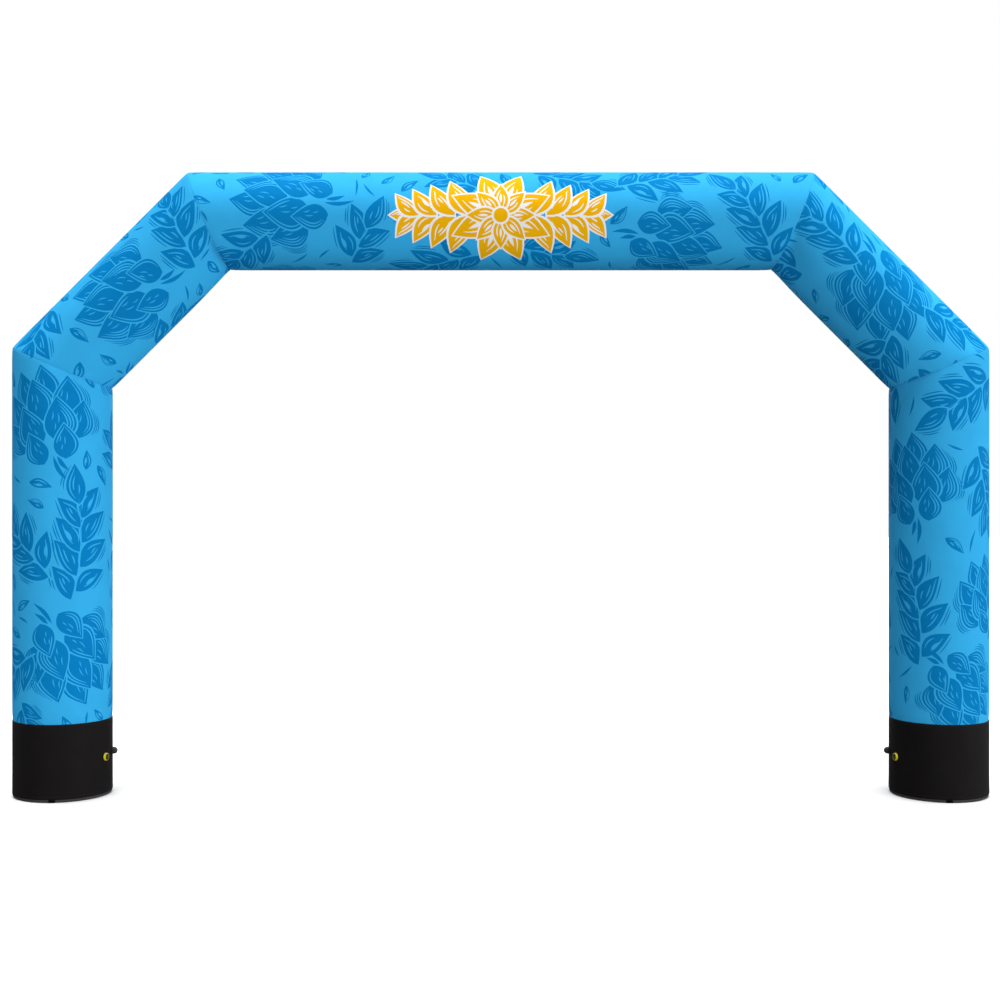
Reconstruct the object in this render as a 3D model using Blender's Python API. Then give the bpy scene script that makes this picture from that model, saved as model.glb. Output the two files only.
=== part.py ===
"""Inflatable event arch: five mitred air tubes standing on two boots.

Metres, +Z up. The origin is on the ground, midway between the legs. The front faces -Y.
Each tube is built about its own axis: local +Z runs along it, local +X points into the
archway and local -Y points to the front.
"""
import math

import bmesh
import bpy
from mathutils import Vector

# Driving dimensions
SPAN = 6.104              # over the outsides of the two leg tubes
HEIGHT = 3.891            # ground to the top of the crossbar
TUBE_RADIUS = 0.300
CORNER = 0.922            # width and height of a diagonal, between its axis ends
BOOT_TOP = 0.474          # height of the seam between leg and boot
BOOT_RADIUS = 0.3025
BASE_RADIUS = 0.2992
BASE_HEIGHT = 0.018
GAP = 0.0003              # clearance between neighbouring pieces

# Places worked out from them
LEG_X = SPAN / 2 - TUBE_RADIUS
CROSSBAR_Z = HEIGHT - TUBE_RADIUS
BEND = math.radians(45.0)
MITRE_SLOPE = math.tan(BEND / 2)
MITRE_GAP = GAP / 2 / math.cos(BEND / 2)

# Seams between tubes: the cloth is drawn in and puckered next to each one
TUBE_SIDES = 48
SEAM_STATIONS = (0.0, 0.014, 0.045, 0.110)   # distances from the seam, a ring at each
SEAM_REACH = 0.035        # distance over which draw-in and puckers fade
MITRE_DRAW_IN = 0.0050
MITRE_PUCKER_INSIDE = 0.0040    # on the short side of the bend
MITRE_PUCKER_OUTSIDE = 0.0008   # on its long side
SQUARE_DRAW_IN = 0.0025
SQUARE_PUCKER = 0.0012

# Boot and base
BOOT_HEM = 0.006          # height of the turned-in cloth at the boot's foot
BOOT_HEM_DRAW_IN = 0.0020
BOOT_LIP = 0.030          # height of the tapered cloth at the boot's top
BOOT_LIP_DRAW_IN = 0.0010
BASE_ROUNDING_WIDTH = 0.012     # the base's lower edge is rounded in this far
BASE_ROUNDING_HEIGHT = 0.0145   # and up to this height
BASE_ROUNDING_STEPS = 4

# Webbing tab on the front of the base
TAB_WIDTH = 0.040
TAB_THICKNESS = 0.0022
TAB_LOW = 0.0015
TAB_HIGH = 0.0175
TAB_ROUNDING = 0.0005

# Where the fittings sit, as angles from the inward direction towards the front
VALVE_ANGLE = math.radians(16.5)
VALVE_HEIGHT = 0.2435
KNOB_ANGLE = math.radians(-8.0)
KNOB_HEIGHT = 0.2605
TAB_ANGLE = math.radians(85.0)

# Moulded fittings, heights measured outwards from the boot
FITTING_SIDES = 28
FITTING_EDGE = 0.0008     # rounding of a moulded edge
SEAT_DEPTH = 0.006        # how far a fitting runs past the boot before its back is cut
SEAT_RADIUS = 0.0275
SEAT_HEIGHT = 0.0025
RING_OUTER_RADIUS = 0.0225
RING_INNER_RADIUS = 0.0145      # around the plug, below the funnel
RING_LIP = 0.0014         # rounding of the ring's outer lip
RING_WALL = 0.0032        # thickness of the ring at its lip
RING_TOP = 0.0150
FUNNEL_LOW = 0.0088       # where the funnel inside the ring meets its bore
PLUG_TOP = 0.0080
HUB_RADIUS = 0.0045
HUB_TOP = 0.0100
COLLAR_RADIUS = 0.0235
COLLAR_HEIGHT = 0.0035
KNOB_RADIUS = 0.0220
KNOB_CENTRE = 0.0100
KNOB_STEPS = 7
KNOB_TOP_LATITUDE = math.radians(74.0)

# Linear colour and roughness of each kind of piece
FINISHES = {
    "printed": ((0.030, 0.310, 0.640), 0.45),
    "boot": ((0.010, 0.009, 0.010), 0.60),
    "base": ((0.045, 0.042, 0.044), 0.70),
    "webbing": ((0.006, 0.006, 0.006), 0.80),
    "valve_seat": ((0.012, 0.012, 0.013), 0.40),
    "valve_ring": ((0.720, 0.620, 0.006), 0.35),
    "knob": ((0.030, 0.030, 0.032), 0.40),
}
SHARP_ANGLE = math.radians(35.0)


def clear_scene():
    for obj in list(bpy.data.objects):
        bpy.data.objects.remove(obj, do_unlink=True)


def new_object(name, data, parent):
    obj = bpy.data.objects.new(name, data)
    bpy.context.scene.collection.objects.link(obj)
    obj.parent = parent
    return obj


def mesh_object(name, bm, parent):
    """Turn a finished bmesh into a smooth-shaded object."""
    mesh = bpy.data.meshes.new(name)
    bmesh.ops.recalc_face_normals(bm, faces=bm.faces)
    bm.to_mesh(mesh)
    bm.free()
    mesh.shade_smooth()
    mesh.set_sharp_from_angle(angle=SHARP_ANGLE)
    return new_object(name, mesh, parent)


def finish(obj, kind):
    """Give the object its own material."""
    colour, roughness = FINISHES[kind]
    material = bpy.data.materials.new(obj.name + "_finish")
    material.use_nodes = True
    shader = material.node_tree.nodes["Principled BSDF"]
    shader.inputs["Base Color"].default_value = (*colour, 1.0)
    shader.inputs["Roughness"].default_value = roughness
    shader.inputs["Metallic"].default_value = 0.0
    obj.data.materials.append(material)


def ring(radius, height, sides):
    """Points of a level circle about local Z, the first one towards +X."""
    angles = [2 * math.pi * i / sides for i in range(sides)]
    return [Vector((radius * math.cos(a), -radius * math.sin(a), height)) for a in angles]


def loft(name, rings, parent, closed=False):
    """Skin an object over rings of points; cap its ends, or join the last to the first."""
    bm = bmesh.new()
    loops = [[bm.verts.new(point) for point in points] for points in rings]
    pairs = list(zip(loops, loops[1:]))
    if closed:
        pairs.append((loops[-1], loops[0]))
    else:
        bm.faces.new(loops[0])
        bm.faces.new(loops[-1])
    for lower, upper in pairs:
        for i in range(len(lower)):
            j = (i + 1) % len(lower)
            bm.faces.new((lower[i], lower[j], upper[j], upper[i]))
    return mesh_object(name, bm, parent)


def turned(name, profile, sides, parent, closed=False):
    """Loft a round shape from (height, radius) pairs."""
    rings = [ring(radius, height, sides) for height, radius in profile]
    return loft(name, rings, parent, closed)


def seam_radius(side, distance, mitred):
    """Tube radius at one of its sides, at a distance from its seam."""
    pucker = SQUARE_PUCKER
    draw_in = SQUARE_DRAW_IN
    if mitred:
        inside = (1 + math.cos(2 * math.pi * side / TUBE_SIDES)) / 2
        pucker = MITRE_PUCKER_OUTSIDE + (MITRE_PUCKER_INSIDE - MITRE_PUCKER_OUTSIDE) * inside
        draw_in = MITRE_DRAW_IN
    if side % 2:
        draw_in += pucker
    return TUBE_RADIUS - draw_in * math.exp(-distance / SEAM_REACH)


def tube_end(height, direction, mitred):
    """Rings from a seam at a height into the tube, whose direction is +1 up or -1 down."""
    slope = MITRE_SLOPE if mitred else 0.0
    gap = MITRE_GAP if mitred else GAP / 2
    rings = []
    for distance in SEAM_STATIONS:
        points = []
        for side in range(TUBE_SIDES):
            angle = 2 * math.pi * side / TUBE_SIDES
            radius = seam_radius(side, distance, mitred)
            x = radius * math.cos(angle)
            rise = gap + distance + slope * x
            points.append(Vector((x, -radius * math.sin(angle), height + direction * rise)))
        rings.append(points)
    return rings


def tubes(arch):
    """The five printed sections, from the left boot over the top to the right boot."""
    corners = (
        Vector((-LEG_X, 0.0, BOOT_TOP)),
        Vector((-LEG_X, 0.0, CROSSBAR_Z - CORNER)),
        Vector((CORNER - LEG_X, 0.0, CROSSBAR_Z)),
        Vector((LEG_X - CORNER, 0.0, CROSSBAR_Z)),
        Vector((LEG_X, 0.0, CROSSBAR_Z - CORNER)),
        Vector((LEG_X, 0.0, BOOT_TOP)),
    )
    names = ("leg_left", "diagonal_left", "crossbar", "diagonal_right", "leg_right")
    for i, name in enumerate(names):
        length = (corners[i + 1] - corners[i]).length
        start = tube_end(0.0, 1, mitred=i > 0)
        end = tube_end(length, -1, mitred=i < len(names) - 1)
        obj = loft(name, start + end[::-1], arch)
        obj.location = corners[i]
        obj.rotation_euler.y = i * BEND
        finish(obj, "printed")


def boot(side, foot):
    """The black foot of the tube, slightly drawn in at both ends."""
    bottom = BASE_HEIGHT + GAP
    top = BOOT_TOP - GAP / 2
    profile = (
        (bottom, BOOT_RADIUS - BOOT_HEM_DRAW_IN),
        (bottom + BOOT_HEM, BOOT_RADIUS),
        (top - BOOT_LIP, BOOT_RADIUS),
        (top, BOOT_RADIUS - BOOT_LIP_DRAW_IN),
    )
    finish(turned("boot_" + side, profile, TUBE_SIDES, foot), "boot")


def base(side, foot):
    """The flat disc that the boot stands on, with a well rounded lower edge."""
    profile = []
    for step in range(BASE_ROUNDING_STEPS + 1):
        turn = math.pi / 2 * step / BASE_ROUNDING_STEPS
        height = BASE_ROUNDING_HEIGHT * (1 - math.cos(turn))
        radius = BASE_RADIUS - BASE_ROUNDING_WIDTH * (1 - math.sin(turn))
        profile.append((height, radius))
    profile.append((BASE_HEIGHT, BASE_RADIUS))
    finish(turned("base_" + side, profile, TUBE_SIDES, foot), "base")


def outward_at(angle, inward):
    """Direction out of the boot at an angle; inward is +1 if the archway is towards +X."""
    return Vector((inward * math.cos(angle), -math.sin(angle), 0.0))


def tab(side, inward, foot):
    """A short flat end of webbing on the front of the base."""
    bm = bmesh.new()
    bmesh.ops.create_cube(bm, size=1.0)
    size = (TAB_THICKNESS, TAB_WIDTH, TAB_HIGH - TAB_LOW)
    bmesh.ops.scale(bm, vec=size, verts=bm.verts)
    bmesh.ops.bevel(bm, geom=bm.edges, offset=TAB_ROUNDING, segments=1, affect="EDGES")
    obj = mesh_object("tab_" + side, bm, foot)
    outward = outward_at(TAB_ANGLE, inward)
    obj.location = outward * (BASE_RADIUS + GAP + TAB_THICKNESS / 2)
    obj.location.z = (TAB_LOW + TAB_HIGH) / 2
    obj.rotation_euler.z = math.atan2(outward.y, outward.x)
    finish(obj, "webbing")


def seat_cutter(side, foot):
    """The boot's outline with clearance, which the backs of the fittings are cut to."""
    heights = (BOOT_TOP / 4, BOOT_TOP * 3 / 4)
    profile = [(height, BOOT_RADIUS + GAP) for height in heights]
    cutter = turned("cutter_" + side, profile, TUBE_SIDES, foot)
    cutter.hide_render = True
    cutter.display_type = "WIRE"
    return cutter


def place_fitting(obj, inward, angle, height):
    """Stand a turned fitting on the boot's side, its local +Z pointing outwards."""
    outward = outward_at(angle, inward)
    obj.location = outward * BOOT_RADIUS
    obj.location.z = height
    obj.rotation_euler = (0.0, math.pi / 2, math.atan2(outward.y, outward.x))


def cut_to_boot(obj, cutter):
    cut = obj.modifiers.new("seat", "BOOLEAN")
    cut.operation = "DIFFERENCE"
    cut.solver = "EXACT"
    cut.object = cutter


def valve_seat(side, inward, foot, cutter):
    """The filling valve's black flange, with the round plug that closes the valve."""
    plug_radius = RING_INNER_RADIUS - GAP
    profile = (
        (-SEAT_DEPTH, SEAT_RADIUS),
        (SEAT_HEIGHT - FITTING_EDGE, SEAT_RADIUS),
        (SEAT_HEIGHT, SEAT_RADIUS - FITTING_EDGE),
        (SEAT_HEIGHT, plug_radius),
        (PLUG_TOP, plug_radius),
        (PLUG_TOP, HUB_RADIUS),
        (HUB_TOP, HUB_RADIUS - FITTING_EDGE),
    )
    obj = turned("valve_seat_" + side, profile, FITTING_SIDES, foot)
    place_fitting(obj, inward, VALVE_ANGLE, VALVE_HEIGHT)
    cut_to_boot(obj, cutter)
    finish(obj, "valve_seat")


def valve_ring(side, inward, foot):
    """The yellow ring on the valve's flange, open in a funnel down to its plug."""
    low = SEAT_HEIGHT + GAP
    profile = (
        (low, RING_INNER_RADIUS),
        (low, RING_OUTER_RADIUS),
        (RING_TOP - RING_LIP, RING_OUTER_RADIUS),
        (RING_TOP, RING_OUTER_RADIUS - RING_LIP),
        (RING_TOP, RING_OUTER_RADIUS - RING_WALL),
        (FUNNEL_LOW, RING_INNER_RADIUS),
    )
    obj = turned("valve_ring_" + side, profile, FITTING_SIDES, foot, closed=True)
    place_fitting(obj, inward, VALVE_ANGLE, VALVE_HEIGHT)
    finish(obj, "valve_ring")


def knob(side, inward, foot, cutter):
    """The pressure knob: most of a ball, standing on a flat collar."""
    profile = [
        (-SEAT_DEPTH, COLLAR_RADIUS),
        (COLLAR_HEIGHT - FITTING_EDGE, COLLAR_RADIUS),
        (COLLAR_HEIGHT, COLLAR_RADIUS - FITTING_EDGE),
    ]
    low_latitude = math.asin((COLLAR_HEIGHT - KNOB_CENTRE) / KNOB_RADIUS)
    for step in range(KNOB_STEPS):
        share = step / (KNOB_STEPS - 1)
        latitude = low_latitude + (KNOB_TOP_LATITUDE - low_latitude) * share
        height = KNOB_CENTRE + KNOB_RADIUS * math.sin(latitude)
        profile.append((height, KNOB_RADIUS * math.cos(latitude)))
    obj = turned("knob_" + side, profile, FITTING_SIDES, foot)
    place_fitting(obj, inward, KNOB_ANGLE, KNOB_HEIGHT)
    cut_to_boot(obj, cutter)
    finish(obj, "knob")


def foot_of(side, inward, arch):
    """Everything below one leg: base, boot and the fittings on them."""
    foot = new_object("foot_" + side, None, arch)
    foot.location.x = -inward * LEG_X
    base(side, foot)
    boot(side, foot)
    tab(side, inward, foot)
    cutter = seat_cutter(side, foot)
    valve_seat(side, inward, foot, cutter)
    valve_ring(side, inward, foot)
    knob(side, inward, foot, cutter)


def main():
    clear_scene()
    arch = new_object("arch", None, None)
    tubes(arch)
    foot_of("left", 1, arch)
    foot_of("right", -1, arch)


main()
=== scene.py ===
import math
import random

import bpy
import numpy as np
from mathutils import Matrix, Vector
from mathutils.geometry import delaunay_2d_cdt


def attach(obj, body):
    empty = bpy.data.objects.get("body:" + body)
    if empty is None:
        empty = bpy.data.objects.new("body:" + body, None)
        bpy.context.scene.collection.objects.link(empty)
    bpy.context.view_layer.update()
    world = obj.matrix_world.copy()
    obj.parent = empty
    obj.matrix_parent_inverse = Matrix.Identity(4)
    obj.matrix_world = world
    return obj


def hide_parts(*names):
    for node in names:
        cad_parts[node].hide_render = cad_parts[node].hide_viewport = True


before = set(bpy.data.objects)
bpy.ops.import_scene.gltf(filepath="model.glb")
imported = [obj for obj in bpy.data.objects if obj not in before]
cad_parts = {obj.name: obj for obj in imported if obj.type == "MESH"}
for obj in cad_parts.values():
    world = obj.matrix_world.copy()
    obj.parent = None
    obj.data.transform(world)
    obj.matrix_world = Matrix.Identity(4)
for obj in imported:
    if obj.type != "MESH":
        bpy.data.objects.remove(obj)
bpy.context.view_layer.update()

BODY = "root"

# Sizes of the arch, in metres
SPAN = 6.104
HEIGHT = 3.891
TUBE_RADIUS = 0.300
CORNER = 0.922
BOOT_TOP = 0.474
BOOT_RADIUS = 0.3025
BASE_RADIUS = 0.2992
BASE_HEIGHT = 0.018
BASE_ROUNDING_WIDTH = 0.012
BASE_ROUNDING_HEIGHT = 0.0145
GAP = 0.0003
LEG_X = SPAN / 2 - TUBE_RADIUS
CROSSBAR_Z = HEIGHT - TUBE_RADIUS
BEND = math.radians(45.0)
MITRE_SLOPE = math.tan(BEND / 2)
MITRE_GAP = GAP / 2 / math.cos(BEND / 2)
GIRTH = 2 * math.pi * TUBE_RADIUS
SIDES = (("left", 1), ("right", -1))      # each with the sign of x towards the arch's middle

# Seams
SEAM_REACH = 0.035        # how far along the cloth a seam draws it in
MITRE_DRAW_IN = 0.0010
MITRE_PUCKER_INSIDE = 0.0015
MITRE_PUCKER_OUTSIDE = 0.0002
STITCH_DIP = 0.0012       # extra depth of a mitred seam right at its stitching
STITCH_DIP_REACH = 0.005
SQUARE_DRAW_IN = 0.0025   # the level seams
SQUARE_PUCKER = 0.0012
PUCKERS = 24
TUCK_DEPTH = 0.030        # the fold of a slanted tube beside the inner corner of an upper seam
TUCK_REACH = 0.055
TUCK_ANGLE = math.radians(42.0)
TUCK_SPREAD = math.radians(24.0)
SWELL = 0.0022            # how far the cloth swells between its seams
SWELL_REACH = 0.020
CREASE_DEPTH = 0.0012     # the seam along the inner line of a tube
CREASE_WIDTH = 0.0050

# Tones of the print, which are also material slots of a tube
GROUND, INK, GOLD, WHITE = range(4)

# Camera
CAMERA_PLACE = (-0.0045, -8.732, 1.8412)
CAMERA_LENS = 50.0
SENSOR = 36.0
FARTHEST_SEEN = 200.0


def add_object(name, data):
    obj = bpy.data.objects.new(name, data)
    bpy.context.scene.collection.objects.link(obj)
    return obj


def place_camera():
    data = bpy.data.cameras.new("camera")
    data.lens = CAMERA_LENS
    data.sensor_width = SENSOR
    data.sensor_fit = "HORIZONTAL"
    data.clip_end = FARTHEST_SEEN
    camera = add_object("camera", data)
    camera.location = CAMERA_PLACE
    camera.rotation_euler = (math.pi / 2, 0.0, 0.0)
    bpy.context.scene.camera = camera


# Print motifs: each is a list of (outline, tone), the later ones on top

def moved(shapes, x, y, turn=0.0, size=1.0, flip=False):
    """The shapes scaled, mirrored if flip, turned and set at a point."""
    along = math.cos(turn) * size
    aside = math.sin(turn) * size
    sign = -1.0 if flip else 1.0
    out = []
    for points, tone in shapes:
        new = [(x + px * along - sign * py * aside, y + px * aside + sign * py * along)
               for px, py in points]
        out.append((new, tone))
    return out


def bulge(share, belly):
    """Half width of a pointed oval, from 0 to 1, at a share of its length."""
    return math.sin(math.pi * min(max(share, 0.0), 1.0) ** belly)


def ribbon(line):
    """The outline of a line, from its (x, y, half thickness) points."""
    return [(x, y - half) for x, y, half in line] + [(x, y + half) for x, y, half in line[::-1]]


def oval(length, width, bow=0.0, belly=0.8, start=0.0, steps=10):
    """Pointed oval along +x, its middle line bowed sideways."""
    line = []
    for k in range(steps + 1):
        share = k / steps
        y = bow * length * math.sin(math.pi * share)
        line.append((start + share * length, y, width / 2 * bulge(share, belly)))
    outline = ribbon(line)
    return outline[:steps + 1] + outline[steps + 2:-1]


def stroke(x0, y0, x1, y1, width, bow):
    """A tapered stroke from one point to another."""
    outline = oval(math.hypot(x1 - x0, y1 - y0), width, bow, belly=0.9, steps=6)
    return moved([(outline, INK)], x0, y0, math.atan2(y1 - y0, x1 - x0))[0][0]


LEAST_REACH = 0.0015      # how near an edge line comes to the middle line
BLUNT = 0.35              # keeps an edge line's ends from being sharp


def edge_line(length, width, bow, belly, side, inset, first, last, thick):
    """A tapered line along one edge of a pointed oval: inside it, or outside if inset is below 0."""
    line = []
    steps = 8
    for j in range(steps + 1):
        share = first + (last - first) * j / steps
        reach = max(width / 2 * bulge(share, belly) - inset, LEAST_REACH)
        y = bow * length * math.sin(math.pi * share) + side * reach
        half = thick / 2 * math.sin(math.pi * (j + BLUNT) / (steps + 2 * BLUNT)) ** 0.6
        line.append((share * length, y, half))
    return ribbon(line)


LEAF_BELLY = 0.82
LEAF_GAP = 0.011          # light line round a leaf or scale
SCALE_BELLY = 0.74
CUT = 0.0085              # thickness of the light cuts
ECHO = 0.0080             # thickness of the dark lines outside

# Light cuts of each style of leaf: side, inset as a share of its width, first and last share along it
LEAF_CUTS = (
    ((1, 0.17, 0.14, 0.90), (1, 0.36, 0.36, 0.70), (-1, 0.34, 0.26, 0.48)),
    ((1, 0.28, 0.20, 0.64), (-1, 0.28, 0.40, 0.82), (1, 0.45, 0.42, 0.60)),
    ((1, 0.24, 0.24, 0.78), (-1, 0.24, 0.20, 0.60)),
)
CORED = 2                 # the style of leaf with a light core


def leaf(length, width, bow=0.05, side=1, style=0, echoes=1, tone=INK, under=GROUND, gap=LEAF_GAP):
    """A cut leaf: dark echo lines, a light halo, a dark blade and light cuts along its edge."""
    shapes = []
    shape = (length, width, bow, LEAF_BELLY)
    for k in range(echoes):
        off = -gap - ECHO * (0.7 + 1.9 * k)
        line = edge_line(*shape, side, off, 0.40 + 0.10 * k, 0.97 - 0.07 * k, ECHO)
        shapes.append((line, tone))
    shapes.append((oval(length + 2 * gap, width + 2 * gap, bow, LEAF_BELLY, start=-gap), under))
    shapes.append((oval(*shape), tone))
    for on, inset, first, last in LEAF_CUTS[style]:
        shapes.append((edge_line(*shape, on * side, inset * width, first, last, CUT), under))
    if style == CORED:
        core = oval(0.34 * length, 0.17 * width, 0.5 * bow, start=0.32 * length)
        shapes.append((core, under))
    return shapes


SPRAY_STEP = 0.148        # distance between the pairs of leaves on a stem
SPRAY_LEAF = 0.250
SPRAY_LEAF_WIDTH = 0.116
STALK = 0.012             # from the stem's middle to a leaf
STEM_HALF = 0.0062
STEM_POINTS = 9


def spray(pairs, curl):
    """Leaves in pairs along a curved light stem, with one at its tip; curl is in radians a metre."""
    shapes = []

    def along(s):
        heading = curl * s
        return s * math.cos(heading / 2), s * math.sin(heading / 2), heading

    for k in range(pairs):
        grow = 0.80 + 0.24 * math.sin(math.pi * (k + 0.9) / (pairs + 0.6))
        for side in (1, -1):
            x, y, heading = along(SPRAY_STEP * (k + (0.0 if side > 0 else 0.38)))
            turn = heading + side * math.radians(44 - 12 * k / pairs)
            blade = leaf(SPRAY_LEAF * grow, SPRAY_LEAF_WIDTH * grow, -0.09 * side, side,
                         (2 * k + side) % 3, 1 + (k + (side > 0)) % 2)
            shapes += moved(blade, x + STALK * math.cos(turn), y + STALK * math.sin(turn), turn)
    x, y, heading = along(SPRAY_STEP * (pairs + 0.02))
    shapes += moved(leaf(SPRAY_LEAF, SPRAY_LEAF_WIDTH, 0.03, 1, 0, 2), x, y, heading)
    stem = []
    for j in range(STEM_POINTS):
        x, y, _ = along(SPRAY_STEP * pairs * 1.1 * j / (STEM_POINTS - 1) - 0.02)
        stem.append((x, y, STEM_HALF * (1 - j / STEM_POINTS)))
    return shapes + [(ribbon(stem), GROUND)]


def bud_scale(length, width, side, style, echoes):
    """One scale of a bud: light lines along its edges and a few short cuts in its middle."""
    shape = (length, width, 0.04 * side, SCALE_BELLY)
    shapes = []
    for k in range(echoes):
        off = -LEAF_GAP - ECHO * (0.7 + 1.8 * k)
        shapes.append((edge_line(*shape, side, off, 0.10 + 0.07 * k, 0.92 - 0.10 * k, ECHO), INK))
    halo = (length + 1.8 * LEAF_GAP, width + 2 * LEAF_GAP, 0.04 * side, SCALE_BELLY)
    shapes.append((oval(*halo, start=-LEAF_GAP, steps=14), GROUND))
    shapes.append((oval(*shape, steps=14), INK))
    cuts = ((side, 0.017, 0.12, 0.92), (side, 0.035, 0.18, 0.82), (side, 0.053, 0.28, 0.70),
            (-side, 0.017, 0.44, 0.92))
    for on, inset, first, last in (cuts[:2], cuts[:1] + cuts[3:], cuts[:3])[style]:
        shapes.append((edge_line(*shape, on, inset, first, last, CUT), GROUND))
    for share, across, run in ((0.26, -0.30, 0.16), (0.40, -0.02, 0.24), (0.48, -0.42, 0.20)):
        x = share * length
        y = side * across * width / 2
        shapes.append((stroke(x, y, x + run * length, y * 0.7, 0.0065, 0.08 * side), GROUND))
    return shapes


# Rows of a bud's scales from its tip to its stem: place along it, half spread, number, size
BUD_ROWS = (
    (0.60, 0.11, 2, 0.40),
    (0.40, 0.27, 3, 0.44),
    (0.18, 0.32, 2, 0.40),
    (0.19, 0.13, 2, 0.46),
    (0.01, 0.13, 2, 0.36),
)


def bud(length, plump):
    """A bud of overlapping scales that point to its tip, on a short stem."""
    shapes = []
    for across, share in ((0.0, 1.0), (0.024, 0.6)):
        tip = (-0.26 * length * share, 0.07 * length + across)
        shapes.append((stroke(0.03 * length, across, *tip, 0.026, 0.08), INK))
    number = 0
    for place, spread, count, size in BUD_ROWS:
        for k in range(count):
            aside = 2 * k / (count - 1) - 1
            x = place * length - 0.04 * length * abs(aside)
            y = aside * spread * length * plump
            turn = math.radians(30) * aside * spread / 0.30 * (1.0 - 0.9 * place)
            side = 1 if aside >= 0 else -1
            echoes = 3 if abs(aside) == 1 and spread > 0.2 else 0
            scale = bud_scale(size * length, size * length * 0.68, side, number % 3, echoes)
            shapes += moved(scale, x, y, turn)
            number += 1
    return shapes


SPRAY_PAIRS = {"spray": 4, "branch": 3, "twig": 2}


def motif(kind, size, rng):
    """A motif centred on its origin, pointing along +x."""
    flip = rng.random() < 0.5
    if kind == "bud":
        return moved(bud(size, rng.uniform(0.78, 0.88)), -0.42 * size, 0.0, flip=flip)
    if kind in SPRAY_PAIRS:
        pairs = SPRAY_PAIRS[kind]
        natural = SPRAY_STEP * pairs + SPRAY_LEAF
        curl = rng.uniform(0.3, 1.1)
        shapes = moved(spray(pairs, curl), -natural / 2, -curl * natural ** 2 / 8)
        return moved(shapes, 0.0, 0.0, size=size / natural, flip=flip)
    if kind == "leaf":
        blade = leaf(size, size * rng.uniform(0.38, 0.46), 0.06, style=rng.choice((0, 2)), echoes=0)
        return moved(blade, -0.5 * size, 0.0, flip=flip)
    return [(stroke(-size / 2, 0.0, size / 2, 0.0, 0.015, 0.05), INK)]


def footprint(shapes):
    """Points that cover a motif, for keeping others off it."""
    points = []
    for outline, _ in shapes:
        outline = np.array(outline)
        middle = outline.mean(axis=0)
        for share in (1.0, 0.66, 0.33):
            points.append(middle + (outline - middle) * share)
    return np.concatenate(points)


class Print:
    """The motifs of one tube, in (along, across) metres; across is 0 on the front line.

    A grid of cells keeps which places are taken, from a little before the tube to a little after."""

    CELL = 0.012
    BEFORE = 0.3
    SPARE_ROWS = 60
    OVERHANG = 0.05
    MARGIN = 0.010

    def __init__(self, length, seed):
        self.length = length
        self.rng = random.Random(seed)
        self.shapes = []
        rows = int(length / self.CELL) + self.SPARE_ROWS
        self.columns = int(round(GIRTH / self.CELL))
        self.taken = np.zeros((rows, self.columns), bool)

    def cells(self, points):
        rows = ((points[:, 0] + self.BEFORE) / self.CELL).astype(int)
        rows = np.clip(rows, 0, self.taken.shape[0] - 1)
        columns = np.floor(points[:, 1] / GIRTH * self.columns).astype(int) % self.columns
        return rows, columns

    def block(self, points, margin):
        for along in (-margin, 0.0, margin):
            for across in (-margin, 0.0, margin):
                self.taken[self.cells(points + (along, across))] = True

    def add(self, kind, along, across, turn, size):
        shapes = moved(motif(kind, size, self.rng), along, across, math.radians(turn))
        self.shapes += shapes
        self.block(footprint(shapes), self.MARGIN)

    def scatter(self, kind, tries, smallest, largest, margin, band=(0.0, GIRTH)):
        """Adds motifs of a kind at random places that are still free."""
        rng = self.rng
        for _ in range(tries):
            along = rng.uniform(-self.OVERHANG, self.length + self.OVERHANG)
            across = rng.uniform(*band)
            size = rng.uniform(smallest, largest)
            shapes = moved(motif(kind, size, rng), along, across, rng.uniform(0, 2 * math.pi))
            points = footprint(shapes)
            if not self.taken[self.cells(points)].any():
                self.shapes += shapes
                self.block(points, margin)


FIRST_SEED = 11
BACK = (0.62, 1.26)       # the part of the girth that faces away from the camera

# What fills the free places: kind, tries, smallest and largest size, clear space round it
FILLING = (
    ("bud", 80, 0.50, 0.60, 0.010, BACK),
    ("spray", 120, 0.74, 0.84, 0.010),
    ("branch", 160, 0.58, 0.68, 0.010),
    ("bud", 160, 0.42, 0.50, 0.010),
    ("twig", 300, 0.38, 0.50, 0.012),
    ("leaf", 600, 0.11, 0.16, 0.014),
    ("sliver", 400, 0.08, 0.16, 0.022),
)

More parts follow.
